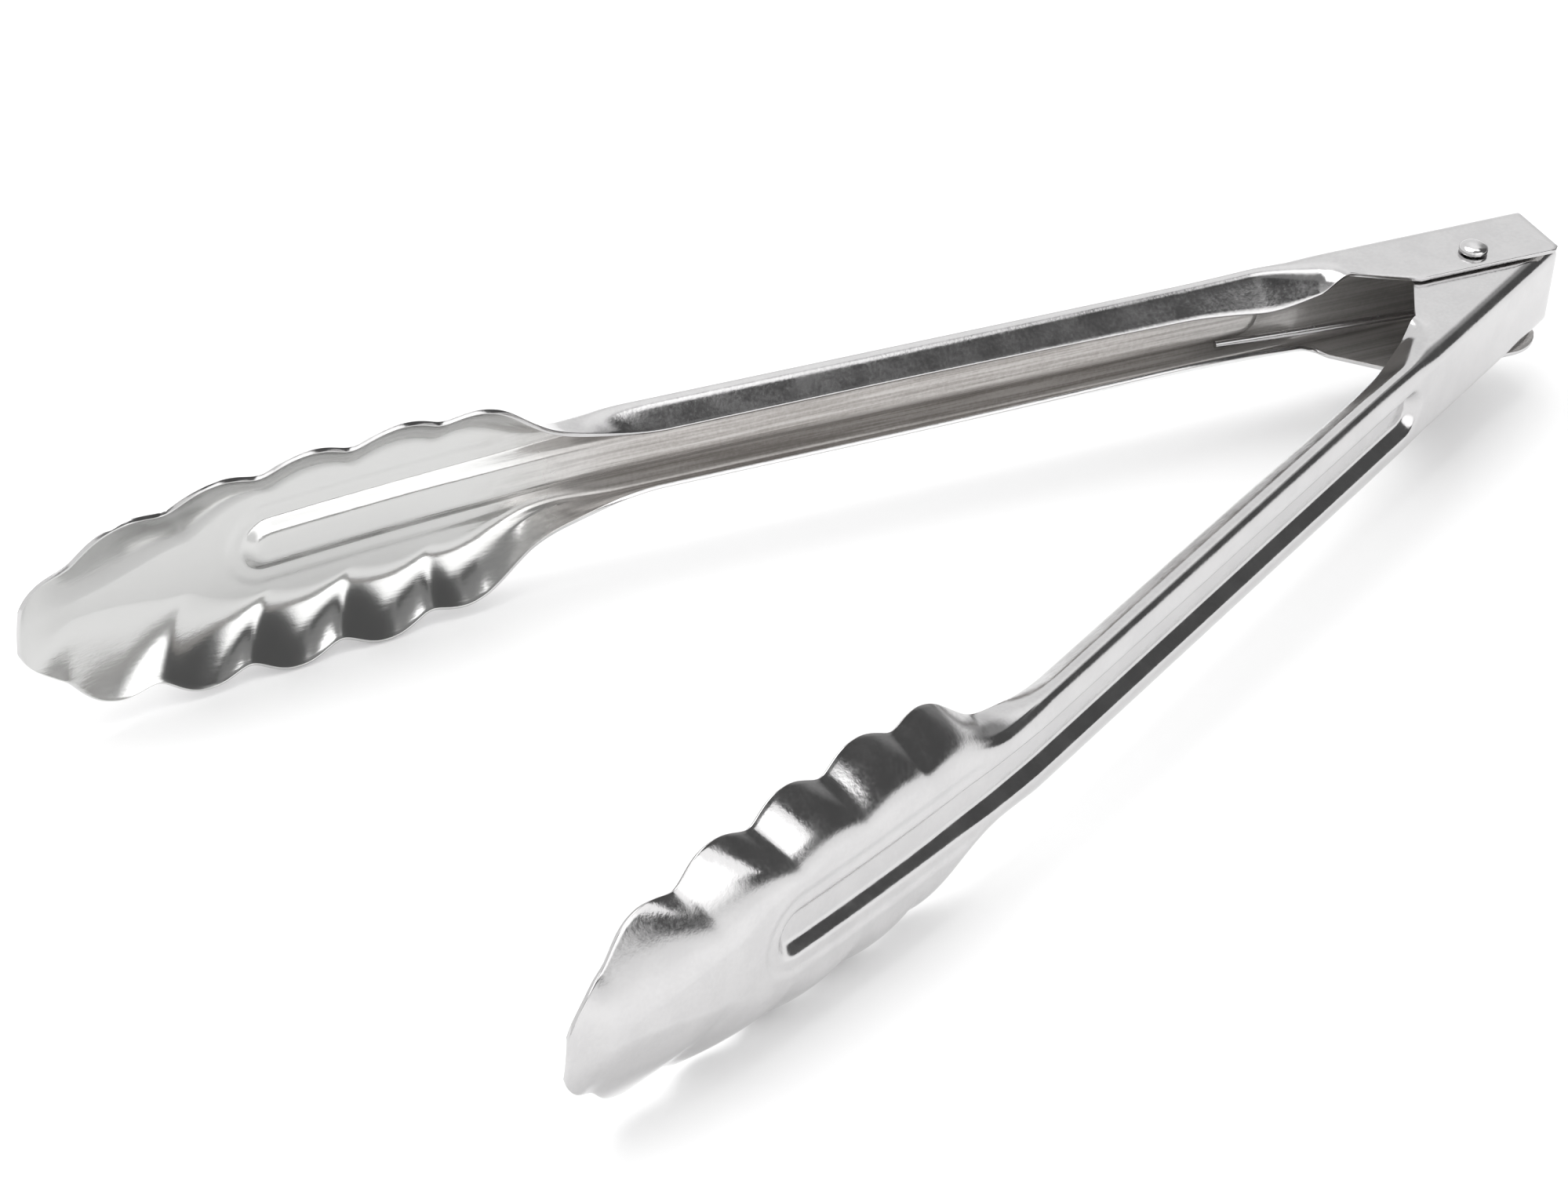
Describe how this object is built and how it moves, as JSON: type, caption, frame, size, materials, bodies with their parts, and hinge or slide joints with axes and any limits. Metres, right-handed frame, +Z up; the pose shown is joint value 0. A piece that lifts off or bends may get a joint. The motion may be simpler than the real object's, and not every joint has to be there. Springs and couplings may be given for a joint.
{
  "type": "kitchen tongs",
  "caption": "Spring-loaded kitchen tongs: two pressed steel arms with scalloped scoop heads, hinged on a rivet and sprung open.",
  "frame": {"origin": "bottom centre of the bounding box with the tongs lying open on their side", "axes": "+X runs from the hinge to the tips halfway between the arms, +Y is towards the inner arm, +Z is up along the rivet"},
  "size_m": [0.299, 0.1378, 0.0438],
  "materials": {
    "polished_sheet": "polished stainless sheet with bright cut edges",
    "rivet_steel": "polished domed rivet",
    "spring_wire": "drawn spring wire"
  },
  "bodies": {
    "outer": {"outer_arm": "polished_sheet", "hinge_rivet": "rivet_steel", "torsion_spring": "spring_wire"},
    "inner": {"inner_arm": "polished_sheet"}
  },
  "joints": [
    {"name": "squeeze", "type": "hinge", "parent": "outer", "child": "inner", "pos_m": [-0.13074, 0, 0.0219], "axis": [0, 0, -1], "range_deg": [0, 26.3], "stiffness_Nm_per_rad": 0.6, "springref_deg": -17.19, "deforming": ["torsion_spring"]}
  ]
}
